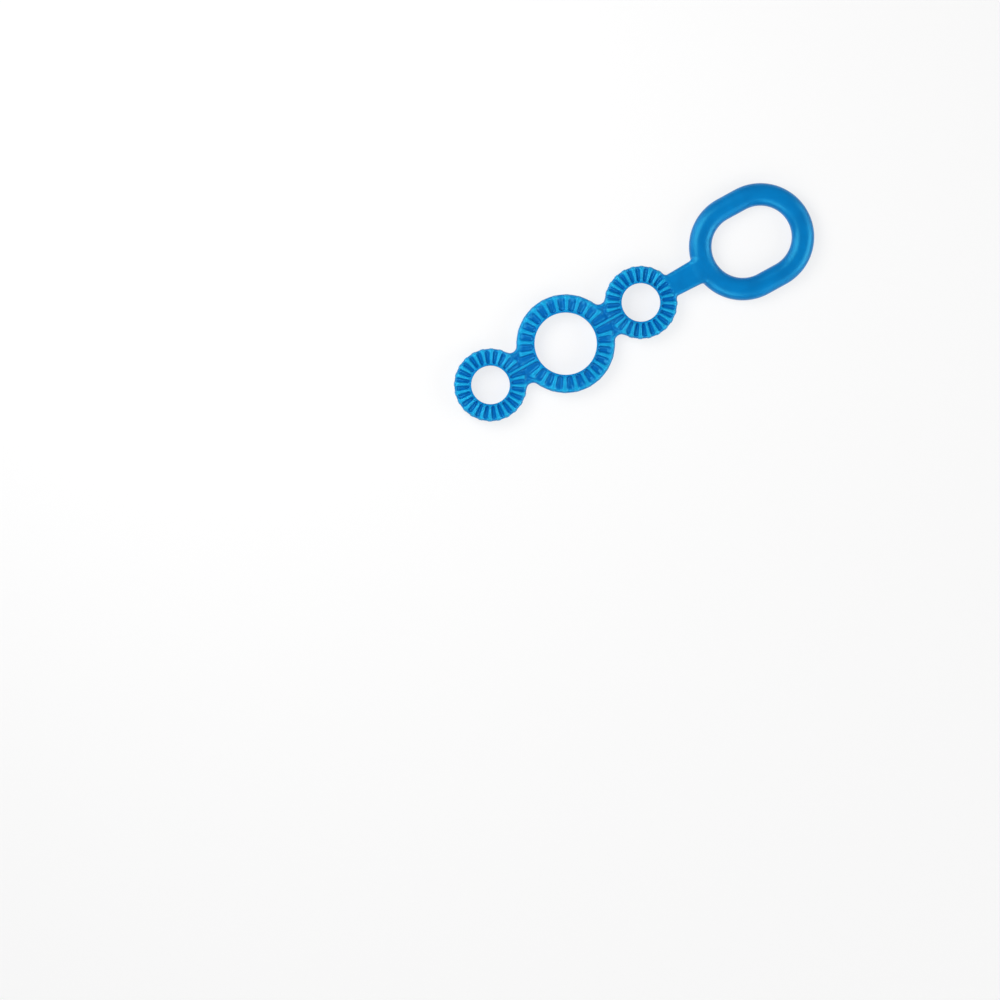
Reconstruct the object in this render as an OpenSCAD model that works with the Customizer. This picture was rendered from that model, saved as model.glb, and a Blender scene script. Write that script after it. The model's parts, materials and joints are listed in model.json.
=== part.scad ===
// Bubble wand: three ribbed rings in a row, a flat stem and an obround finger loop.
// Millimetres. The wand lies flat, Z is up and X runs along it towards the finger loop.

/* [Wand] */
// Thickness over the ribs, the bore rims and the finger loop
wand_t = 3.4; // [2.8:0.1:4.2]

/* [Rings] */
// Bore of the small rings, at the tip and next to the stem
small_bore_d = 7.3; // [6:0.1:9]
// Width of a small ring, from its bore to the edge of its plate
small_ring_w = 3.15; // [2.6:0.05:3.6]
// Bore of the centre ring
big_bore_d = 11.8; // [10:0.1:14]
// Width of the centre ring, from its bore to the edge of its plate
big_ring_w = 3.4; // [2.7:0.05:3.8]
// Width of the raised rim round each bore
rim_w = 0.3; // [0.2:0.05:0.5]
// Gap between the plates of neighbouring rings
ring_gap = 0.15; // [0.15:0.05:0.5]
// Height of the bead along the plate's edge, above the plate
bead_h = 0.35; // [0.2:0.05:0.45]
// Radius of the bead
bead_r = 0.4; // [0.3:0.05:0.5]

/* [Ribs] */
// Ribs round each ring, with one on the wand's axis at either side
rib_count = 24; // [18:2:28]
// Height of a rib above the plate, on either face
rib_h = 0.6; // [0.5:0.05:1]
// Share of the spacing that a rib's crest takes on a small ring
small_rib_share = 0.46; // [0.36:0.02:0.52]
// Share of the spacing that a rib's crest takes on the centre ring
big_rib_share = 0.38; // [0.3:0.02:0.5]
// Draft of a rib's flanks from the mid-plane to its crests, in degrees
rib_draft = 4; // [2:0.5:5]
// How far a rib's end stands out past the plate's edge on a small ring
small_rib_nose = 0.16; // [0.08:0.02:0.3]
// How far a rib's end stands out past the plate's edge on the centre ring
big_rib_nose = 0.08; // [0.06:0.02:0.3]
// Radius of a rib's end, from its crest down to its nose
rib_end_r = 0.9; // [0.6:0.05:1.2]

/* [Links] */
// Radius of the hollow on either side of a link
link_fillet = 1.35; // [1:0.05:1.8]
// How far a link's web lies below the plates, on either face
web_drop = 0.2; // [0.1:0.05:0.3]
// Width of the long rib along a link, at its crests
link_rib_w = 0.5; // [0.4:0.05:0.7]

/* [Stem] */
// Distance from the near ring's plate to the finger loop
stem_len = 5; // [4:0.05:12]
// Width of the stem at the near ring
stem_ring_w = 4.5; // [3.6:0.05:5.2]
// Width of the stem at the finger loop
stem_loop_w = 4.85; // [3.6:0.05:5.6]
// How far the stem lies below the rib crests, on either face
stem_drop = 0.2; // [0.1:0.05:0.4]
// How far the stem laps over the near ring's plate
stem_lap = 0.55; // [0.3:0.05:0.8]
// Radius of the stem's long edges
stem_edge_r = 0.4; // [0.2:0.05:0.6]
// How far the near ring's ribs stay clear of the stem's long edges
stem_rib_gap = 0.15; // [0.1:0.01:0.3]

/* [Finger loop] */
// Length of the finger hole, along the wand
hole_l = 15.65; // [14:0.05:20]
// Width of the finger hole
hole_w = 11.8; // [10:0.05:13.5]
// Width of the band round the finger hole
loop_band = 4.3; // [3:0.05:5]
// Radius of the band's edges
loop_edge_r = 1.5; // [0.8:0.05:1.6]

/* [Hidden] */
$fn = 96;
hull_fn = 32;
overrun = 0.5;
wand_blue = [0.03, 0.46, 0.76];

// Heights, from the mid-plane
plate_t = wand_t - 2 * rib_h;
bead_t = plate_t + 2 * bead_h;
web_t = plate_t - 2 * web_drop;
stem_t = wand_t - 2 * stem_drop;

// Radii
small_bore_r = small_bore_d / 2;
small_plate_r = small_bore_r + small_ring_w;
big_bore_r = big_bore_d / 2;
big_plate_r = big_bore_r + big_ring_w;
hole_r = hole_w / 2;
// An edge keeps a flat of at least a tenth of the band beside it
edge_limit_share = 0.9;
loop_r = min(loop_edge_r, edge_limit_share * min(wand_t, loop_band) / 2);

// Places along the wand, with the origin under the middle of its length
ring_pitch = small_plate_r + big_plate_r + ring_gap;
loop_half_l = hole_l / 2 + loop_band;
tip_reach = small_plate_r + small_rib_nose;
loop_offset = small_plate_r + stem_len + loop_half_l;
wand_l = tip_reach + 2 * ring_pitch + loop_offset + loop_half_l;
tip_x = tip_reach - wand_l / 2;
centre_x = tip_x + ring_pitch;
near_x = centre_x + ring_pitch;
loop_x = near_x + loop_offset;

// Ribs: angle from one to the next, and half a rib's width at its crest and further down
rib_step = 360 / rib_count;
function crest_half(r, share) = r * tan(share * rib_step / 2);
function drafted(half, drop) = half + drop * tan(rib_draft);

// Which ribs each ring has, counted from the one that points to the finger loop.
// Where a ring faces a link, the link's long rib takes the place of the ring's own.
tip_ribs = [for (i = [1 : rib_count - 1]) i];
centre_ribs = [for (i = tip_ribs) if (2 * i != rib_count) i];
near_ribs = concat([0], centre_ribs);
// Where each ring's bead starts and how far it goes round: it leaves the links' pockets open
whole_sweep = 360 - 2 * rib_step;
half_sweep = 180 - 2 * rib_step;
tip_beads = [[rib_step, whole_sweep]];
centre_beads = [[rib_step, half_sweep], [180 + rib_step, half_sweep]];
near_beads = [[180 + rib_step, whole_sweep]];
// The ribs on either side of one, as far as a link can reach
rib_reach = 3;
function ribs_beside(rib) = [for (i = [-rib_reach : rib_reach]) if (i != 0) rib + i];

// Links: where the hollow's centre lies, seen from the centre ring
hollow_big = big_plate_r + link_fillet;
hollow_small = small_plate_r + link_fillet;
hollow_x = (pow(ring_pitch, 2) + pow(hollow_big, 2) - pow(hollow_small, 2)) / (2 * ring_pitch);
hollow_y = sqrt(pow(hollow_big, 2) - pow(hollow_x, 2));
// The web stops just short of where its hollow would run out on a plate
web_reach_share = 0.94;

// Stem: its width at a place along the wand
stem_x0 = near_x + small_plate_r;
stem_x1 = stem_x0 + stem_len;
stem_ends = [near_x + small_bore_r + rim_w, stem_x1 + loop_band / 2];
stem_end_r = small_plate_r - stem_lap;
function stem_w(x) = stem_ring_w + (stem_loop_w - stem_ring_w) * (x - stem_x0) / stem_len;

// Lifts a shape that was drawn round the mid-plane onto the floor
module lift() {
  translate([0, 0, wand_t / 2]) children();
}

// Profile of a ring's plate, with a round edge and a rim at the bore
module plate_profile(bore_r, plate_r) {
  edge_x = plate_r - plate_t / 2;
  translate([bore_r, -wand_t / 2]) square([rim_w, wand_t]);
  translate([bore_r, -plate_t / 2]) square([edge_x - bore_r, plate_t]);
  translate([edge_x, 0]) circle(d = plate_t);
}

// Profile of the bead along a plate's edge
module bead_profile(plate_r) {
  bead_x = plate_r - bead_r;
  round_z = bead_t / 2 - bead_r;
  translate([bead_x - bead_r, -round_z]) square(2 * [bead_r, round_z]);
  for (side = [-1, 1]) translate([bead_x, side * round_z]) circle(bead_r);
}

// Profile that the ribs of a ring follow, with a round end at their tip
module rib_profile(bore_r, tip) {
  start = bore_r + rim_w / 2;
  end_h = wand_t / 2 - rib_end_r;
  translate([start, -wand_t / 2]) square([tip - rib_end_r - start, wand_t]);
  translate([start, -end_h]) square([tip - start, 2 * end_h]);
  for (side = [-1, 1]) translate([tip - rib_end_r, side * end_h]) circle(rib_end_r);
}

// Section of a rib at one radius, as points round it from its lower crest
function rib_section(r, share) =
  let (
    high = wand_t / 2 + overrun,
    crest = drafted(crest_half(r, share), -overrun),
    mid = drafted(crest_half(r, share), wand_t / 2)
  )
  [[r, crest, -high], [r, mid, 0], [r, crest, high], [r, -crest, high], [r, -mid, 0], [r, -crest, -high]];

// One rib's wedge along X: it widens outwards and leans in towards both crests
module rib_wedge(r_in, r_out, share) {
  inner = rib_section(r_in, share);
  outer = rib_section(r_out, share);
  corners = len(inner);
  inner_face = [for (i = [0 : corners - 1]) i];
  outer_face = [for (i = [corners - 1 : -1 : 0]) corners + i];
  sides = [
    for (i = [0 : corners - 1])
      let (next = (i + 1) % corners)
      [next, i, corners + i, corners + next]
  ];
  polyhedron(points = concat(inner, outer), faces = concat([inner_face, outer_face], sides));
}

// A ring's plate round the origin, with its bead
module ring_plate(bore_r, plate_r, beads) {
  rotate_extrude() plate_profile(bore_r, plate_r);
  for (bead = beads)
    rotate(bead[0]) rotate_extrude(angle = bead[1]) bead_profile(plate_r);
}

// The ribs of a list round the origin
module ring_ribs(bore_r, tip, share, ribs) {
  intersection() {
    rotate_extrude() rib_profile(bore_r, tip);
    for (i = ribs)
      rotate(i * rib_step) rib_wedge(bore_r + rim_w / 2, tip + overrun, share);
  }
}

module small_ribs(ribs) {
  ring_ribs(small_bore_r, small_plate_r + small_rib_nose, small_rib_share, ribs);
}

module tip_ring_shape(ribs) {
  translate([tip_x, 0, 0]) {
    ring_plate(small_bore_r, small_plate_r, tip_beads);
    small_ribs(ribs);
  }
}

module centre_ring_shape(ribs) {
  translate([centre_x, 0, 0]) {
    ring_plate(big_bore_r, big_plate_r, centre_beads);
    ring_ribs(big_bore_r, big_plate_r + big_rib_nose, big_rib_share, ribs);
  }
}

module near_plate() {
  translate([near_x, 0, 0]) ring_plate(small_bore_r, small_plate_r, near_beads);
}

// The near ring, whose ribs stop where the stem begins
module near_ring_shape(ribs) {
  near_plate();
  difference() {
    translate([near_x, 0, 0]) small_ribs(ribs);
    linear_extrude(2 * wand_t, center = true) stem_plan(stem_rib_gap);
  }
}

// Plan of the stem from its end on the near ring's plate, with a margin along its edges
module stem_plan(margin) {
  edge = [for (x = stem_ends) [x, stem_w(x) / 2 + margin]];
  difference() {
    polygon([edge[0], edge[1], [edge[1].x, -edge[1].y], [edge[0].x, -edge[0].y]]);
    translate([near_x, 0]) circle(stem_end_r);
  }
}

// Web between the centre ring, at the origin, and a small ring, with a hollow on either side
module web_outline() {
  reach = hollow_y * web_reach_share;
  difference() {
    polygon([[0, 0], [hollow_x, reach], [ring_pitch, 0], [hollow_x, -reach]]);
    circle(big_bore_r + rim_w);
    translate([ring_pitch, 0]) circle(small_bore_r + rim_w);
    for (side = [-1, 1]) translate([hollow_x, side * hollow_y]) circle(link_fillet);
  }
}

// Section of a link's long rib, in Y and Z
module link_rib_section() {
  high = wand_t / 2;
  crest = link_rib_w / 2;
  mid = drafted(crest, high);
  polygon([[mid, 0], [crest, high], [-crest, high], [-mid, 0], [-crest, -high], [crest, -high]]);
}

// A link from the centre ring, at the origin, to a small ring ahead of it
module link_shape() {
  rib_start = big_bore_r + rim_w / 2;
  rib_end = ring_pitch - small_bore_r - rim_w / 2;
  linear_extrude(web_t, center = true) web_outline();
  translate([rib_start, 0, 0])
    rotate([90, 0, 90]) linear_extrude(rib_end - rib_start) link_rib_section();
}

// Flat bar that widens towards the finger loop, with rounded long edges
module stem_bar() {
  hull()
    for (x = stem_ends, y_side = [-1, 1], z_side = [-1, 1])
      translate([x, y_side * (stem_w(x) / 2 - stem_edge_r), z_side * (stem_t / 2 - stem_edge_r)])
        rotate([0, 90, 0]) cylinder(r = stem_edge_r, h = stem_edge_r, center = true, $fn = hull_fn);
}

// Section of the finger loop's band, centred on the band
module band_section() {
  flat_w = loop_band - 2 * loop_r;
  flat_h = wand_t - 2 * loop_r;
  square([loop_band, flat_h], center = true);
  square([flat_w, wand_t], center = true);
  for (x_side = [-1, 1], z_side = [-1, 1])
    translate([x_side * flat_w / 2, z_side * flat_h / 2]) circle(loop_r);
}

module finger_loop_shape() {
  straight_l = hole_l - hole_w;
  band_r = hole_r + loop_band / 2;
  translate([loop_x, 0, 0])
    for (side = [-1, 1]) {
      translate([side * straight_l / 2, 0, 0])
        rotate(-side * 90) rotate_extrude(angle = 180) translate([band_r, 0]) band_section();
      translate([-straight_l / 2, side * band_r, 0])
        rotate([90, 0, 90]) linear_extrude(straight_l) band_section();
    }
}

module tip_ring() {
  color(wand_blue) lift() tip_ring_shape(tip_ribs);
}

module centre_ring() {
  color(wand_blue) lift() centre_ring_shape(centre_ribs);
}

module near_ring() {
  color(wand_blue) lift() near_ring_shape(near_ribs);
}

module tip_link() {
  color(wand_blue) lift() difference() {
    translate([centre_x, 0, 0]) mirror([1, 0, 0]) link_shape();
    tip_ring_shape(ribs_beside(0));
    centre_ring_shape(ribs_beside(rib_count / 2));
  }
}

module near_link() {
  color(wand_blue) lift() difference() {
    translate([centre_x, 0, 0]) link_shape();
    centre_ring_shape(ribs_beside(0));
    near_ring_shape(ribs_beside(rib_count / 2));
  }
}

module stem() {
  color(wand_blue) lift() difference() {
    stem_bar();
    translate([near_x, 0, 0]) cylinder(r = stem_end_r, h = 2 * wand_t, center = true);
    near_plate();
    finger_loop_shape();
  }
}

module finger_loop() {
  color(wand_blue) lift() finger_loop_shape();
}

tip_ring();
tip_link();
centre_ring();
near_link();
near_ring();
stem();
finger_loop();
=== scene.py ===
import json
import math
from collections import namedtuple

import bmesh
import bpy
import numpy as np
from mathutils import Matrix, Vector


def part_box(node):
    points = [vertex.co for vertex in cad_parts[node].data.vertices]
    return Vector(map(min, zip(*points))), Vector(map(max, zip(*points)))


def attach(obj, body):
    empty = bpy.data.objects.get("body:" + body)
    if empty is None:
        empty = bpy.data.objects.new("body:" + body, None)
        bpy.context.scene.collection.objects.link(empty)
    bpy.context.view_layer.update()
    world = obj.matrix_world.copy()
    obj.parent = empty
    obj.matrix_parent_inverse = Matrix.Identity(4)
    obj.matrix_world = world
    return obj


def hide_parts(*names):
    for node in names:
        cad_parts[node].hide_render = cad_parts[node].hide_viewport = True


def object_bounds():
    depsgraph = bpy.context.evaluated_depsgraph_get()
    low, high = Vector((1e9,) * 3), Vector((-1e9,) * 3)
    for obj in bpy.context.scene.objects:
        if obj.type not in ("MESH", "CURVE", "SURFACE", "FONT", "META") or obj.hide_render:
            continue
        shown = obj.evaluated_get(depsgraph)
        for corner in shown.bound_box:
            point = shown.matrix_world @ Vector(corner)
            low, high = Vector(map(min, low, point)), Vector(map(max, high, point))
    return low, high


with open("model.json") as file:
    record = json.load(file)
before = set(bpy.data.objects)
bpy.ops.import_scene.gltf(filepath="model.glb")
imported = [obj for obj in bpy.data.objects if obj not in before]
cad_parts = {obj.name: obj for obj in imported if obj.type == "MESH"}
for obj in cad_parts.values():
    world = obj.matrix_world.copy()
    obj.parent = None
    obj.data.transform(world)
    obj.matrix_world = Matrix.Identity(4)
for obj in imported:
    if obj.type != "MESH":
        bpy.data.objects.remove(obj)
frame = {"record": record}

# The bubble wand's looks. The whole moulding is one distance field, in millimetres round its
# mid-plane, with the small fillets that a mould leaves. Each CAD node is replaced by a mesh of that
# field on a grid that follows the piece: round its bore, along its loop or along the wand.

cad_low, cad_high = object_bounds()
MM = 0.001


# Sizes from the frame, in millimetres. Heights (_H) are measured from the mid-plane.
def mount(name):
    return next(m for m in frame["record"]["mounts"] if m["name"] == name)


def box_mm(node):
    low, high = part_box(node)
    return np.array(low) / MM, np.array(high) / MM


WAND_H = (cad_high.z - cad_low.z) / MM / 2
WAND_ENDS = (cad_low.x / MM, cad_high.x / MM)
stem_low, stem_high = box_mm("stem")
loop_low, loop_high = box_mm("finger_loop")
STEM_H = (stem_high[2] - stem_low[2]) / 2
LOOP_X = (loop_low[0] + loop_high[0]) / 2
LOOP_HALF_L = (loop_high[0] - loop_low[0]) / 2
LOOP_HALF_W = (loop_high[1] - loop_low[1]) / 2

# Rings. Ribs, and a lower bead along the edge, rise from a plate with a rim round its bore.
RIM_W = 0.3
RIB_COUNT = 24
RIB_STEP = 2 * math.pi / RIB_COUNT
RIB_RISE = 0.6
RIB_END_R = 0.9
RIB_DRAFT = math.tan(math.radians(4))
PLATE_H = WAND_H - RIB_RISE
PLATE_EDGE_R = 0.6
BEAD_RISE = 0.35
# Beside a link the bead sets in between these angles, in rib steps
BEAD_STOP = 0.75
BEAD_FULL = 1.25
# How far away a rib counts where a link's rib replaces it
NO_RIB = 0.2618

# Links
LINK_FILLET = 1.35
LINK_RIB_W = 0.5
WEB_DROP = 0.05
WEB_H = PLATE_H - WEB_DROP
WEB_BEAD_W = 0.3
WEB_FLARE = 0.8

# Stem and finger loop
STEM_RING_W = 4.5
STEM_LOOP_W = 4.85
STEM_LAP = 0.55
STEM_EDGE_R = 0.75
STEM_SOFT_R = 1.1
STEM_SOFT_RUN = 1
STEM_RIB_GAP = 0.15
LOOP_BAND = 4.3
LOOP_ROUNDNESS = 2.15
LOOP_STRAIGHT = 2 * (LOOP_HALF_L - LOOP_HALF_W)
LOOP_PATH_R = LOOP_HALF_W - LOOP_BAND / 2
LOOP_LAP = 2 * LOOP_STRAIGHT + 2 * math.pi * LOOP_PATH_R

# Radii that the mould leaves on edges and in corners
CREST_R = 0.3
RIM_R = 0.14
CORNER_R = 0.45
BORE_EDGE_R = 0.12
JOIN_R = 0.12
WEB_BLEND_R = 0.35
FILLET_RUN = 0.5
STEM_JOIN_R = 0.3
STEM_BLEND_R = 0.9
STEM_BLEND_SHARE = 0.25

# A ring's teeth past the plate, its ribs' share of the way round, its bead and the rise to it
RingShape = namedtuple("RingShape", "nose share bead_w flare")
SMALL = RingShape(nose=0.1, share=0.46, bead_w=0.2, flare=0.5)
BIG = RingShape(nose=0.04, share=0.38, bead_w=0.4, flare=1.1)
Ring = namedtuple("Ring", "node x bore_r plate_r shape bare_sides")


def make_ring(node, bore, shape, bare_sides):
    """A ring's place and radii. On its bare sides, +1 or -1 along the wand, a link's rib replaces
    its own."""
    spot = mount(bore)
    low, high = box_mm(node)
    plate_r = (high[1] - low[1]) / 2 - shape.nose
    return Ring(node, spot["pos_m"][0] / MM, spot["dims"]["r_mm"], plate_r, shape, bare_sides)


TIP = make_ring("tip_ring", "tip_bore", SMALL, (1,))
CENTRE = make_ring("centre_ring", "centre_bore", BIG, (-1, 1))
NEAR = make_ring("near_ring", "near_bore", SMALL, (-1,))
RINGS = (TIP, CENTRE, NEAR)
STEM_X0 = NEAR.x + NEAR.plate_r
STEM_X1 = LOOP_X - LOOP_HALF_L
STEM_END_R = NEAR.plate_r - STEM_LAP


# Distance helpers: unions and cuts whose corners have a radius
def round_min(a, b, r):
    corner = np.hypot(np.maximum(r - a, 0), np.maximum(r - b, 0))
    return np.maximum(r, np.minimum(a, b)) - corner


def round_max(a, b, r):
    return -round_min(-a, -b, r)


def round_box(u, v, half_u, half_v, r):
    qu = np.abs(u) - half_u + r
    qv = np.abs(v) - half_v + r
    outside = np.hypot(np.maximum(qu, 0), np.maximum(qv, 0))
    return outside + np.minimum(np.maximum(qu, qv), 0) - r


def ease(t):
    t = np.clip(t, 0, 1)
    return t * t * (3 - 2 * t)


def lerp(a, b, share):
    return a + (b - a) * share


# The moulding's parts
def polar(p, ring):
    dx = p[..., 0] - ring.x
    return np.hypot(dx, p[..., 1]), np.arctan2(p[..., 1], dx)


def rim(p, ring):
    rho, _ = polar(p, ring)
    return round_max(rho - ring.bore_r - RIM_W, np.abs(p[..., 2]) - WAND_H, RIM_R)


def link_angle(angle, side):
    """Angle from the direction of a link on one side of a ring."""
    return np.abs(angle) if side > 0 else math.pi - np.abs(angle)


def plate(p, ring):
    """A ring's plate, whose faces rise to a bead along its edge except where a link's pockets
    run out."""
    rho, angle = polar(p, ring)
    shape = ring.shape
    rise = ease((rho - ring.plate_r + shape.bead_w + shape.flare) / shape.flare)
    for side in ring.bare_sides:
        rib_steps = link_angle(angle, side) / RIB_STEP
        rise = rise * ease((rib_steps - BEAD_STOP) / (BEAD_FULL - BEAD_STOP))
    faces = np.abs(p[..., 2]) - PLATE_H - BEAD_RISE * rise
    return round_max(faces, rho - ring.plate_r, PLATE_EDGE_R)


def ribs(p, ring):
    """Drafted ribs round a ring, folded into one, with a round end past the plate's edge."""
    rho, angle = polar(p, ring)
    z = p[..., 2]
    folded = (angle + RIB_STEP / 2) % RIB_STEP - RIB_STEP / 2
    along = rho * np.cos(folded)
    across = rho * np.abs(np.sin(folded))
    spread = math.tan(ring.shape.share * RIB_STEP / 2)
    half = along * spread + (WAND_H - np.abs(z)) * RIB_DRAFT
    length = ring.plate_r + ring.shape.nose
    profile = round_box(along, z, length, WAND_H, RIB_END_R)
    made = round_max(across - half, profile, CREST_R)
    for side in ring.bare_sides:
        replaced = link_angle(angle, side) < RIB_STEP / 2
        made = np.where(replaced, np.maximum(made, NO_RIB), made)
    return made


def ring_solid(p, ring):
    """A ring with its rim and ribs. The fillets run out towards the plate's edge."""
    own_ribs = ribs(p, ring)
    if ring is NEAR:
        own_ribs = round_max(own_ribs, -beside_stem(p), CREST_R)
    raised = round_min(own_ribs, rim(p, ring), CORNER_R)
    rho, _ = polar(p, ring)
    fillet_r = CORNER_R * ease((ring.plate_r - rho) / FILLET_RUN)
    return round_min(plate(p, ring), raised, fillet_r)


def long_rib(p, small):
    """The rib along a link, from the middle of one ring to that of the other."""
    middle = (CENTRE.x + small.x) / 2
    reach = abs(small.x - CENTRE.x) / 2
    half = LINK_RIB_W / 2 + (WAND_H - np.abs(p[..., 2])) * RIB_DRAFT
    section = round_max(np.abs(p[..., 1]) - half, np.abs(p[..., 2]) - WAND_H, CREST_R)
    return np.maximum(section, np.abs(p[..., 0] - middle) - reach)


def web(p, small):
    """The web between the centre ring and a small one, and how far inside its outline a point lies.
    A round hollow bounds it on either side, and its faces rise to a bead there."""
    pitch = abs(small.x - CENTRE.x)
    from_big = CENTRE.plate_r + LINK_FILLET
    from_small = small.plate_r + LINK_FILLET
    hollow_x = (pitch**2 + from_big**2 - from_small**2) / (2 * pitch)
    hollow_y = math.sqrt(from_big**2 - hollow_x**2)
    along = (p[..., 0] - CENTRE.x) * math.copysign(1, small.x - CENTRE.x)
    across = np.abs(p[..., 1])
    inside = np.hypot(along - hollow_x, across - hollow_y) - LINK_FILLET
    big_side = (across * hollow_x - along * hollow_y) / from_big
    small_side = (across * (pitch - hollow_x) - (pitch - along) * hollow_y) / from_small
    rise = ease((WEB_BEAD_W + WEB_FLARE - inside) / WEB_FLARE)
    faces = np.abs(p[..., 2]) - WEB_H - BEAD_RISE * rise
    solid = round_max(faces, -inside, PLATE_EDGE_R)
    return np.maximum(solid, np.maximum(big_side, small_side)), inside


def stem_half_w(x):
    return lerp(STEM_RING_W, STEM_LOOP_W, (x - STEM_X0) / (STEM_X1 - STEM_X0)) / 2


def stem(p):
    """The flat stem, whose long edges soften as it runs into the finger loop."""
    rho, _ = polar(p, NEAR)
    x = p[..., 0]
    edge_r = lerp(STEM_EDGE_R, STEM_SOFT_R, ease((x - STEM_X1) / STEM_SOFT_RUN))
    bar = round_box(p[..., 1], p[..., 2], stem_half_w(x), STEM_H, edge_r)
    middle = (STEM_X0 + STEM_X1) / 2
    reach = (STEM_X1 - STEM_X0 + LOOP_BAND) / 2
    bar = np.maximum(bar, np.abs(x - middle) - reach)
    return round_max(bar, STEM_END_R - rho, CREST_R)


def beside_stem(p):
    """Negative inside the plan that the near ring's ribs leave to the stem."""
    rho, _ = polar(p, NEAR)
    across = np.abs(p[..., 1]) - stem_half_w(p[..., 0]) - STEM_RIB_GAP
    return np.maximum(np.maximum(across, STEM_END_R - rho), NEAR.x - p[..., 0])


def from_crown(p):
    """Distance outwards from the middle of the finger loop's band, as a share of its half width."""
    past_straight = np.maximum(np.abs(p[..., 0] - LOOP_X) - LOOP_STRAIGHT / 2, 0)
    return (np.hypot(past_straight, p[..., 1]) - LOOP_PATH_R) / (LOOP_BAND / 2)


def loop(p):
    """The finger loop's band, whose section is a full oval."""
    across = np.abs(from_crown(p))
    up = np.abs(p[..., 2]) / WAND_H
    size = (across**LOOP_ROUNDNESS + up**LOOP_ROUNDNESS) ** (1 / LOOP_ROUNDNESS)
    return (size - 1) * WAND_H


FAR = 3.0


def field(p):
    """Signed distance to the moulding's surface at points in millimetres, negative inside.
    Parts of the moulding further along the wand than FAR are left out."""
    x, height = p[..., 0], np.abs(p[..., 2])
    first, last = x.min() - FAR, x.max() + FAR
    rings = [r for r in RINGS if first < r.x + r.plate_r and r.x - r.plate_r < last]
    smalls = [r for r in (TIP, NEAR) if first < max(r.x, CENTRE.x) and min(r.x, CENTRE.x) < last]
    body = np.full(p.shape[:-1], FAR)
    for r in rings:
        body = np.minimum(body, ring_solid(p, r))
    for small in smalls:
        between, inside = web(p, small)
        body = round_min(body, between, lerp(JOIN_R, WEB_BLEND_R, ease(inside / FILLET_RUN)))
        body = round_min(body, long_rib(p, small), CORNER_R)
    if last > NEAR.x:
        body = round_min(body, stem(p), CORNER_R)
        near_face = ease((height / STEM_H - STEM_BLEND_SHARE) / (1 - STEM_BLEND_SHARE))
        outside_crown = ease(from_crown(p))
        blend_r = lerp(STEM_JOIN_R, STEM_BLEND_R, near_face * outside_crown)
        body = round_min(body, loop(p), blend_r)
    body = np.maximum(body, height - WAND_H)
    body = np.maximum(body, np.maximum(WAND_ENDS[0] - x, x - WAND_ENDS[1]))
    for r in rings:
        body = round_max(body, r.bore_r - polar(p, r)[0], BORE_EDGE_R)
    return body


GRADIENT_STEP = 0.01
TINY = 1e-9


def gradient(p):
    parts = []
    for axis in np.eye(3):
        ahead = field(p + axis * GRADIENT_STEP)
        behind = field(p - axis * GRADIENT_STEP)
        parts.append((ahead - behind) / (2 * GRADIENT_STEP))
    return np.stack(parts, -1)


def unit(v):
    return v / np.maximum(np.linalg.norm(v, axis=-1, keepdims=True), TINY)


# Meshing of the field's surface
SETTLE_ROUNDS = 4
LEAST_STEEPNESS = 0.05


def settle(p, longest):
    """Moves points onto the surface, at most a little way at a time."""
    for _ in range(SETTLE_ROUNDS):
        slope = gradient(p)
        steepness = np.maximum((slope**2).sum(-1, keepdims=True), LEAST_STEEPNESS)
        step = field(p)[..., None] * slope / steepness
        size = np.linalg.norm(step, axis=-1, keepdims=True)
        p = p - step * np.minimum(1, longest / np.maximum(size, TINY))
    return p


def surface_net(axes, place, wraps):
    """Points and quads of the surface on a grid of three axes, which place() turns into
    millimetres. With wraps, the second axis closes on itself."""
    a, b, c = axes
    grid = np.stack(np.meshgrid(a, b, c, indexing="ij"), -1)
    values = field(place(grid))
    if wraps:
        values = np.concatenate([values, values[:, :1]], 1)
        b = np.append(b, 2 * b[-1] - b[-2])
    inside = values < 0
    cells = tuple(n - 1 for n in values.shape)

    def corner(data, i, j, k):
        return data[i : i + cells[0], j : j + cells[1], k : k + cells[2]]

    # One point in each cell that the surface crosses, amid the crossings of the cell's edges
    corners = [(i, j, k) for i in (0, 1) for j in (0, 1) for k in (0, 1)]
    filled = sum(corner(inside, *q).astype(int) for q in corners)
    active = (filled > 0) & (filled < len(corners))
    where = np.argwhere(active)
    total = np.zeros((len(where), 3))
    count = np.zeros(len(where))
    for start in corners:
        for axis in range(3):
            if start[axis]:
                continue
            end = tuple(s + (axis == n) for n, s in enumerate(start))
            va = corner(values, *start)[active]
            vb = corner(values, *end)[active]
            crossed = (va < 0) != (vb < 0)
            share = np.where(crossed, va / np.where(crossed, va - vb, 1), 0)
            spot = np.array(start) + share[:, None] * np.eye(3)[axis]
            total += np.where(crossed[:, None], spot, 0)
            count += crossed
    local = where + total / count[:, None]
    knots = [np.interp(local[:, n], np.arange(len(q)), q) for n, q in enumerate((a, b, c))]
    points = place(np.stack(knots, -1))

    # One quad round each grid edge that the surface crosses
    number = np.full(cells, -1)
    number[active] = np.arange(len(where))
    quads = []
    for axis in range(3):
        own = inside[:, :-1] if wraps and axis != 1 else inside
        first = np.take(own, range(cells[axis]), axis)
        second = np.take(own, range(1, cells[axis] + 1), axis)
        u, v = [n for n in range(3) if n != axis]
        for flip, edges in ((axis == 1, first & ~second), (axis != 1, second & ~first)):
            at = np.argwhere(edges)
            around = []
            for du, dv in ((1, 1), (0, 1), (0, 0), (1, 0)):
                cell = at.copy()
                cell[:, u] -= du
                cell[:, v] -= dv
                if wraps:
                    cell[:, 1] %= cells[1]
                around.append(cell)
            kept = np.all([((q >= 0) & (q < cells)).all(1) for q in around], 0)
            quad = np.stack([number[tuple(q[kept].T)] for q in around], 1)
            quads.append(quad[:, ::-1] if flip else quad)
    return points, np.concatenate(quads)


# A plane across the wand, and the side of it, -1 or +1, that is kept
CutPlane = namedtuple("CutPlane", "x side")
CUT_MERGE = 1e-6
CUT_REACH = 1e-4
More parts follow.
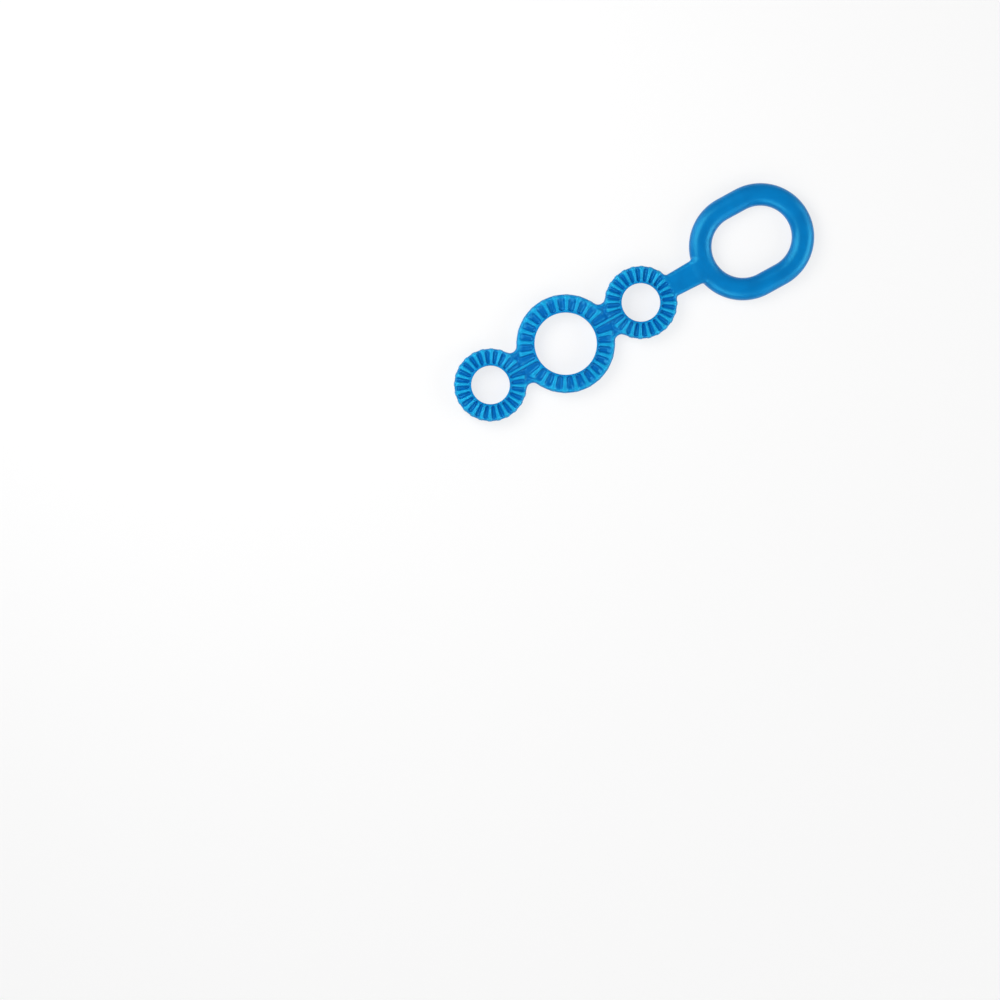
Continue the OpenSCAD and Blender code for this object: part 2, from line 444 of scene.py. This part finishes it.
# Marks the faces that close a cut until their normals are set
CAP = 1


def cut_off(bm, cut):
    """Cuts away what lies past a plane and closes the mesh there. Returns the closing faces."""
    bmesh.ops.bisect_plane(
        bm,
        geom=bm.verts[:] + bm.edges[:] + bm.faces[:],
        dist=CUT_MERGE,
        plane_co=(cut.x, 0, 0),
        plane_no=(-cut.side, 0, 0),
        clear_outer=True,
    )

    def on_plane(vertex):
        return abs(vertex.co.x - cut.x) < CUT_REACH

    edge = [e for e in bm.edges if e.is_boundary and all(map(on_plane, e.verts))]
    return bmesh.ops.holes_fill(bm, edges=edge)["faces"]


def piece(node, axes, place, wraps, cuts):
    """A closed mesh of one node's stretch of the moulding. Its grid's first and last axes are
    lengths, and the second may be an angle."""
    points, quads = surface_net(axes, place, wraps)
    mesh_step = min(np.diff(axis).min() for axis in axes[::2])
    points = settle(points, mesh_step)
    made = bpy.data.meshes.new(node + "_form")
    made.from_pydata(points.tolist(), [], quads.tolist())
    bm = bmesh.new()
    bm.from_mesh(made)
    caps = set()
    for cut in cuts:
        caps.update(cut_off(bm, cut))
    loose = [v for v in bm.verts if not v.link_faces]
    bmesh.ops.delete(bm, geom=loose, context="VERTS")
    bmesh.ops.recalc_face_normals(bm, faces=bm.faces[:])
    for face in bm.faces:
        face.smooth = True
        face.material_index = CAP if face in caps else 0
    bm.to_mesh(made)
    bm.free()
    finish_mesh(made)
    obj = bpy.data.objects.new(node + "_form", made)
    bpy.context.scene.collection.objects.link(obj)
    return obj


# Relief, by which the plastic's colour turns: painted highlight where it stands proud and painted
# shade where it lies deep
RELIEF_REACH = 0.7
RELIEF_SIDES = 8
# Share of the painted highlight and shade that the smooth stem and finger loop get
SMOOTH_RELIEF = 0.35
# Extra painted shade on pocket floors, and how much of the rib rise counts as floor
FLOOR_PAINTED_SHADE = 0.28
FLOOR_SHARE = 0.7
# Width over which the painted highlight fades out towards a bore
BORE_SHADE_W = 0.6
# Where a normal is more upright than this, x takes the place of z in finding its sides
UPRIGHT = 0.9


def ribbed(p):
    """One on the rings and links, none on the smooth stem and finger loop."""
    past_ring = p[..., 0] > STEM_X0 + NEAR.shape.nose
    return np.where(past_ring, 0, ease(beside_stem(p) / STEM_RIB_GAP))


def painted_light_relief_at(points, normals):
    """How far the plastic stands proud of what lies round it, or below zero how deep it lies, as a
    share of the reach; the colour paints a highlight on what stands proud and shade on what lies
    deep. The painted highlight fades towards the bores, pocket floors get extra painted shade, and
    the smooth stem and finger loop have less of it."""
    helper = np.where(np.abs(normals[:, 2:]) < UPRIGHT, [[0, 0, 1]], [[1, 0, 0]])
    first = unit(np.cross(normals, helper))
    second = np.cross(normals, first)
    painted_light_relief = np.zeros(len(points))
    for turn in range(RELIEF_SIDES):
        angle = 2 * math.pi * turn / RELIEF_SIDES
        beside = points + RELIEF_REACH * (math.cos(angle) * first + math.sin(angle) * second)
        painted_light_relief += field(beside) / (RELIEF_REACH * RELIEF_SIDES)
    from_bore = np.min([polar(points, r)[0] - r.bore_r for r in RINGS], 0)
    painted_light_relief = np.where(painted_light_relief > 0, painted_light_relief * ease(from_bore / BORE_SHADE_W), painted_light_relief)
    depth = (WAND_H - np.abs(points[:, 2])) / RIB_RISE
    floors = ease((depth + FLOOR_SHARE - 1) / FLOOR_SHARE) * np.abs(normals[:, 2])
    counts = ribbed(points)
    # Painted highlight and shade, with extra painted shade on the pocket floors
    return painted_light_relief * lerp(SMOOTH_RELIEF, 1, counts) - FLOOR_PAINTED_SHADE * floors * counts


def read_all(items, name, width, kind):
    values = np.zeros(len(items) * width, kind)
    items.foreach_get(name, values)
    return values.reshape(-1, width) if width > 1 else values


def finish_mesh(made):
    """Gives a mesh the measure by which its colour is painted with highlight and shade, exact
    normals with flat caps, and the frame's own scale.
    """
    points = read_all(made.vertices, "co", 3, np.float32).astype(float)
    normals = unit(gradient(points))
    layer = made.attributes.new("painted_light_relief", "FLOAT", "POINT")
    layer.data.foreach_set("value", painted_light_relief_at(points, normals).astype(np.float32))
    faces = made.polygons
    corner_vertex = read_all(made.loops, "vertex_index", 1, np.int32)
    corner_count = read_all(faces, "loop_total", 1, np.int32)
    is_cap = np.repeat(read_all(faces, "material_index", 1, np.int32) == CAP, corner_count)
    face_normals = np.repeat(read_all(faces, "normal", 3, np.float32), corner_count, 0)
    corner_normals = np.where(is_cap[:, None], face_normals, normals[corner_vertex])
    faces.foreach_set("material_index", np.zeros(len(faces), np.int32))
    placed = np.clip((points + [0, 0, WAND_H]) * MM, cad_low, cad_high)
    made.vertices.foreach_set("co", placed.astype(np.float32).ravel())
    made.normals_split_custom_set(corner_normals.tolist())
    made.update()


# Grids
def steps(start, end, size):
    return np.linspace(start, end, max(2, int(round((end - start) / size)) + 1))


def straight(grid):
    return grid


def round_ring(ring):
    def place(grid):
        rho, angle, z = np.moveaxis(grid, -1, 0)
        return np.stack([ring.x + rho * np.cos(angle), rho * np.sin(angle), z], -1)

    return place


def along_loop(grid):
    """Across the band, along its path from the stem's side, and up."""
    across, path, z = np.moveaxis(grid, -1, 0)
    quarter = math.pi / 2 * LOOP_PATH_R
    s = (path + LOOP_LAP / 2) % LOOP_LAP - LOOP_LAP / 2
    side = np.where(s < 0, -1, 1)
    s = np.abs(s)
    near_angle = np.minimum(s, quarter) / LOOP_PATH_R
    far_angle = np.maximum(s - quarter - LOOP_STRAIGHT, 0) / LOOP_PATH_R
    angle = near_angle + far_angle
    run = np.clip(s - quarter, 0, LOOP_STRAIGHT)
    r = LOOP_PATH_R + across
    x = LOOP_X - LOOP_STRAIGHT / 2 + run - r * np.cos(angle)
    return np.stack([x, side * r * np.sin(angle), z], -1)


# With this room past the moulding, no plane of a grid lies on a flat face
EDGE_ROOM = 0.27
FINE = 0.1
HEIGHTS = steps(-WAND_H - EDGE_ROOM, WAND_H + EDGE_ROOM, FINE)
RIB_COLUMNS = 20
LOOP_STEP = 3 * FINE
LOOP_ACROSS_STEP = 1.5 * FINE
LOOP_FINE_REACH = STEM_LOOP_W * 0.75
LINK_REACH = 4.2
STEM_REACH = STEM_LOOP_W / 2 + EDGE_ROOM

# Where the pieces meet: the links lap over the plates, and the stem stops short at both its ends
LINK_LAP = 0.45
STEM_GAP = 0.15
TIP_CUT = TIP.x + TIP.plate_r - LINK_LAP
CENTRE_CUTS = (CENTRE.x - CENTRE.plate_r + LINK_LAP, CENTRE.x + CENTRE.plate_r - LINK_LAP)
NEAR_CUT = NEAR.x - NEAR.plate_r + LINK_LAP
STEM_CUT = STEM_X0 + STEM_GAP
LOOP_CUT = STEM_X1 - STEM_GAP


def ring_axes(ring):
    """Out from the bore, round it and up. A grid reaches past the webs at the cuts, and the near
    ring's holds the start of the stem too."""
    outer = ring.plate_r + LINK_LAP
    if ring is NEAR:
        outer = math.hypot(STEM_CUT - NEAR.x, STEM_LOOP_W / 2)
    rho = steps(ring.bore_r - EDGE_ROOM, outer + EDGE_ROOM, FINE)
    count = RIB_COUNT * RIB_COLUMNS
    return rho, np.arange(count) * 2 * math.pi / count, HEIGHTS


def ring_piece(ring, cuts):
    return piece(ring.node, ring_axes(ring), round_ring(ring), True, cuts)


def straight_piece(node, x0, x1, half_y):
    across = steps(-half_y, half_y, FINE)
    axes = (steps(x0 - EDGE_ROOM, x1 + EDGE_ROOM, FINE), across, HEIGHTS)
    return piece(node, axes, straight, False, [CutPlane(x0, 1), CutPlane(x1, -1)])


def loop_piece():
    """The finger loop, on a grid that is finer round its joint with the stem."""
    half = LOOP_BAND / 2
    across = steps(-half - EDGE_ROOM, half + 2 * EDGE_ROOM, LOOP_ACROSS_STEP)
    near_stem = steps(-LOOP_FINE_REACH, LOOP_FINE_REACH, FINE)
    rest = steps(LOOP_FINE_REACH, LOOP_LAP - LOOP_FINE_REACH, LOOP_STEP)[1:-1]
    axes = (across, np.concatenate([near_stem, rest]), HEIGHTS)
    return piece("finger_loop", axes, along_loop, True, [CutPlane(LOOP_CUT, 1)])


forms = {
    "tip_ring": ring_piece(TIP, [CutPlane(TIP_CUT, -1)]),
    "tip_link": straight_piece("tip_link", TIP_CUT, CENTRE_CUTS[0], LINK_REACH),
    "centre_ring": ring_piece(CENTRE, [CutPlane(CENTRE_CUTS[0], 1), CutPlane(CENTRE_CUTS[1], -1)]),
    "near_link": straight_piece("near_link", CENTRE_CUTS[1], NEAR_CUT, LINK_REACH),
    "near_ring": ring_piece(NEAR, [CutPlane(NEAR_CUT, 1), CutPlane(STEM_CUT, -1)]),
    "stem": straight_piece("stem", STEM_CUT, LOOP_CUT, STEM_REACH),
    "finger_loop": loop_piece(),
}


# Materials
class Nodes:
    """The node tree of a material or a world, built up from nothing."""

    def __init__(self, owner):
        owner.use_nodes = True
        self.tree = owner.node_tree
        self.tree.nodes.clear()

    def add(self, kind, **values):
        made = self.tree.nodes.new(kind)
        for key, value in values.items():
            setattr(made, key, value)
        return made

    def link(self, source, target):
        self.tree.links.new(source, target)

    def ramp(self, source, from_range, to_range):
        made = self.add("ShaderNodeMapRange")
        keys = ("From Min", "From Max", "To Min", "To Max")
        for key, value in zip(keys, (*from_range, *to_range)):
            made.inputs[key].default_value = value
        self.link(source, made.inputs["Value"])
        return made.outputs["Result"]


PLASTIC_IOR = 1.49
GLOSS_LEVEL = 0.6
GLOSS_TINT = (0.09, 0.86, 1, 1)
ROUGHNESS = (0.285, 0.31)

SOLID_BLUES = ((0.001, 0.158, 0.465), (0.001, 0.192, 0.535))
# Painted highlight: the paler blue given to what stands proud, such as the rib crests
PAINTED_HIGHLIGHT_BLUE = (0.008, 0.348, 0.675)
# Painted shade: the darker blue given to pockets and what lies deep
PAINTED_SHADE_BLUE = (0.001, 0.115, 0.43)

# The relief over which the colour turns to a painted highlight where it stands proud and to painted
# shade where it lies deep, and how far it turns
PAINTED_HIGHLIGHT_RELIEF = (0.04, 0.32)
PAINTED_HIGHLIGHT_SHARE = 0.9
PAINTED_SHADE_RELIEF = (-0.02, -0.3)
PAINTED_SHADE_SHARE = 0.8

# Noises, with the scale per metre
Noise = namedtuple("Noise", "scale detail stretch")
EVEN = (1, 1, 1)
MOTTLE = Noise(scale=260, detail=4, stretch=EVEN)
MOTTLE_RANGE = (0.35, 0.65)
FLOW = Noise(scale=500, detail=3, stretch=(0.25, 1, 1))
FLOW_RANGE = (0.3, 0.7)
GRAIN = Noise(scale=2600, detail=3, stretch=EVEN)
GRAIN_STRENGTH = 0.12
GRAIN_DEPTH = 0.00002


def plastic_material():
    """Glossy blue moulded plastic, with a painted highlight that makes it paler where it stands
    proud and painted shade that makes it darker where it lies deep, with faint mottling, flow marks
    in the gloss and a fine grain."""
    material = bpy.data.materials.new("wand_plastic")
    nodes = Nodes(material)
    output = nodes.add("ShaderNodeOutputMaterial")
    shader = nodes.add("ShaderNodeBsdfPrincipled")
    nodes.link(shader.outputs["BSDF"], output.inputs["Surface"])
    shader.inputs["IOR"].default_value = PLASTIC_IOR
    shader.inputs["Specular IOR Level"].default_value = GLOSS_LEVEL
    shader.inputs["Specular Tint"].default_value = GLOSS_TINT
    place = nodes.add("ShaderNodeTexCoord").outputs["Object"]

    def noise(kind):
        mapping = nodes.add("ShaderNodeMapping")
        mapping.inputs["Scale"].default_value = kind.stretch
        nodes.link(place, mapping.inputs["Vector"])
        made = nodes.add("ShaderNodeTexNoise")
        made.inputs["Scale"].default_value = kind.scale
        made.inputs["Detail"].default_value = kind.detail
        nodes.link(mapping.outputs["Vector"], made.inputs["Vector"])
        return made.outputs["Fac"]

    def mix(factor, first, second):
        made = nodes.add("ShaderNodeMix", data_type="RGBA")
        nodes.link(factor, made.inputs["Factor"])
        for key, value in (("A", first), ("B", second)):
            socket = next(s for s in made.inputs if s.name == key and s.type == "RGBA")
            if isinstance(value, tuple):
                socket.default_value = (*value, 1)
            else:
                nodes.link(value, socket)
        return next(s for s in made.outputs if s.type == "RGBA")

    painted_light_relief = nodes.add("ShaderNodeAttribute", attribute_name="painted_light_relief").outputs["Fac"]
    solid = mix(nodes.ramp(noise(MOTTLE), MOTTLE_RANGE, (0, 1)), *SOLID_BLUES)
    # Painted highlight on what stands proud
    proud = mix(nodes.ramp(painted_light_relief, PAINTED_HIGHLIGHT_RELIEF, (0, PAINTED_HIGHLIGHT_SHARE)), solid, PAINTED_HIGHLIGHT_BLUE)
    # Painted shade in pockets and on their floors
    colour = mix(nodes.ramp(painted_light_relief, PAINTED_SHADE_RELIEF, (0, PAINTED_SHADE_SHARE)), proud, PAINTED_SHADE_BLUE)
    nodes.link(colour, shader.inputs["Base Color"])

    roughness = nodes.ramp(noise(FLOW), FLOW_RANGE, ROUGHNESS)
    nodes.link(roughness, shader.inputs["Roughness"])

    bump = nodes.add("ShaderNodeBump")
    bump.inputs["Strength"].default_value = GRAIN_STRENGTH
    bump.inputs["Distance"].default_value = GRAIN_DEPTH
    nodes.link(noise(GRAIN), bump.inputs["Height"])
    nodes.link(bump.outputs["Normal"], shader.inputs["Normal"])
    return material


plastic = plastic_material()
for node_name, form in forms.items():
    form.data.materials.append(plastic)
    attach(form, "root")
    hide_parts(node_name)


# Camera, straight onto the flat face as in the photograph
PHOTO_PX_PER_MM = 5.277
PHOTO_SIDE_PX = 1000
WAND_TILT = math.radians(28.75)
WAND_CENTRE_PX = (633, 306.8)
CAMERA_DISTANCE = 2.5
CAMERA_SIGHT = 100
SENSOR_MM = 36

right = Vector((math.cos(WAND_TILT), -math.sin(WAND_TILT), 0))
up = Vector((math.sin(WAND_TILT), math.cos(WAND_TILT), 0))
toward = right.cross(up)
px = MM / PHOTO_PX_PER_MM
off_right = (WAND_CENTRE_PX[0] - PHOTO_SIDE_PX / 2) * px
off_up = (PHOTO_SIDE_PX / 2 - WAND_CENTRE_PX[1]) * px
centre = Vector((0, 0, WAND_H * MM)) - right * off_right - up * off_up

camera_data = bpy.data.cameras.new("camera")
camera_data.sensor_width = SENSOR_MM
camera_data.lens = SENSOR_MM * CAMERA_DISTANCE / (PHOTO_SIDE_PX * px)
camera_data.clip_end = CAMERA_SIGHT
camera = bpy.data.objects.new("camera", camera_data)
turned = Matrix((right, up, toward)).transposed().to_4x4()
camera.matrix_world = Matrix.Translation(centre + toward * CAMERA_DISTANCE) @ turned
bpy.context.scene.collection.objects.link(camera)
bpy.context.scene.camera = camera

# Floor
FLOOR_HALF = 4
FLOOR_WHITE = (0.9, 0.9, 0.9, 1)
FLOOR_GLOW_SHARE = 0.75


def floor_material():
    """White floor that keeps a soft shadow. What the camera and reflections see of it is partly a
    plain white glow."""
    material = bpy.data.materials.new("floor_white")
    nodes = Nodes(material)

    def larger(first, second):
        made = nodes.add("ShaderNodeMath", operation="MAXIMUM")
        nodes.link(first, made.inputs[0])
        nodes.link(second, made.inputs[1])
        return made.outputs[0]

    rays = nodes.add("ShaderNodeLightPath").outputs
    mirrored = larger(rays["Is Glossy Ray"], rays["Is Transmission Ray"])
    share = nodes.add("ShaderNodeMath", operation="MULTIPLY")
    nodes.link(larger(rays["Is Camera Ray"], mirrored), share.inputs[0])
    share.inputs[1].default_value = FLOOR_GLOW_SHARE
    matt = nodes.add("ShaderNodeBsdfDiffuse")
    matt.inputs["Color"].default_value = FLOOR_WHITE
    glow = nodes.add("ShaderNodeEmission")
    blend = nodes.add("ShaderNodeMixShader")
    nodes.link(share.outputs[0], blend.inputs["Fac"])
    nodes.link(matt.outputs["BSDF"], blend.inputs[1])
    nodes.link(glow.outputs["Emission"], blend.inputs[2])
    output = nodes.add("ShaderNodeOutputMaterial")
    nodes.link(blend.outputs["Shader"], output.inputs["Surface"])
    return material


floor_mesh = bpy.data.meshes.new("floor")
floor_sides = ((-1, -1), (1, -1), (1, 1), (-1, 1))
floor_corners = [(x * FLOOR_HALF, y * FLOOR_HALF, 0) for x, y in floor_sides]
floor_mesh.from_pydata(floor_corners, [], [(0, 1, 2, 3)])
floor_mesh.materials.append(floor_material())
floor = bpy.data.objects.new("floor", floor_mesh)
bpy.context.scene.collection.objects.link(floor)


# Light
def soft_light(name, place, size, watts, only_gloss=False):
    """A square lamp aimed at the wand. Its place is right and up in the picture and above the
    floor, in metres. A lamp only for gloss adds reflections and no other light."""
    data = bpy.data.lights.new(name, "AREA")
    data.size = size
    data.energy = watts
    lamp = bpy.data.objects.new(name, data)
    lamp.location = right * place[0] + up * place[1] + Vector((0, 0, place[2]))
    lamp.rotation_euler = (-lamp.location).to_track_quat("-Z", "Y").to_euler()
    lamp.visible_camera = False
    lamp.visible_diffuse = not only_gloss
    bpy.context.scene.collection.objects.link(lamp)


soft_light("key", (-0.1, 0.05, 0.15), size=0.12, watts=0.245)
soft_light("side", (0.58, -0.12, 0.3), size=0.45, watts=2)
soft_light("low", (-0.2, -0.5, 0.45), size=0.4, watts=1.1)
soft_light("side_card", (0.55, -0.4, 0.35), size=0.7, watts=3.5, only_gloss=True)
soft_light("low_card", (-0.2, -0.5, 0.5), size=0.5, watts=1.5, only_gloss=True)
soft_light("right_card", (0.6, 0.22, 0.25), size=0.5, watts=2, only_gloss=True)
soft_light("left_card", (-0.6, 0.25, 0.15), size=0.5, watts=2.2, only_gloss=True)

WALL_GLOW = 0.42
CEILING_GLOW = 0.3
CEILING_UP = 0.9


def studio_world():
    """Pale walls all round under a darker ceiling."""
    world = bpy.data.worlds.new("studio")
    nodes = Nodes(world)
    direction = nodes.add("ShaderNodeTexCoord").outputs["Generated"]
    split = nodes.add("ShaderNodeSeparateXYZ")
    nodes.link(direction, split.inputs["Vector"])
    glow = nodes.ramp(split.outputs["Z"], (0, CEILING_UP), (WALL_GLOW, CEILING_GLOW))
    background = nodes.add("ShaderNodeBackground")
    nodes.link(glow, background.inputs["Strength"])
    output = nodes.add("ShaderNodeOutputWorld")
    nodes.link(background.outputs["Background"], output.inputs["Surface"])
    return world


bpy.context.scene.world = studio_world()
bpy.context.scene.view_settings.view_transform = "Standard"
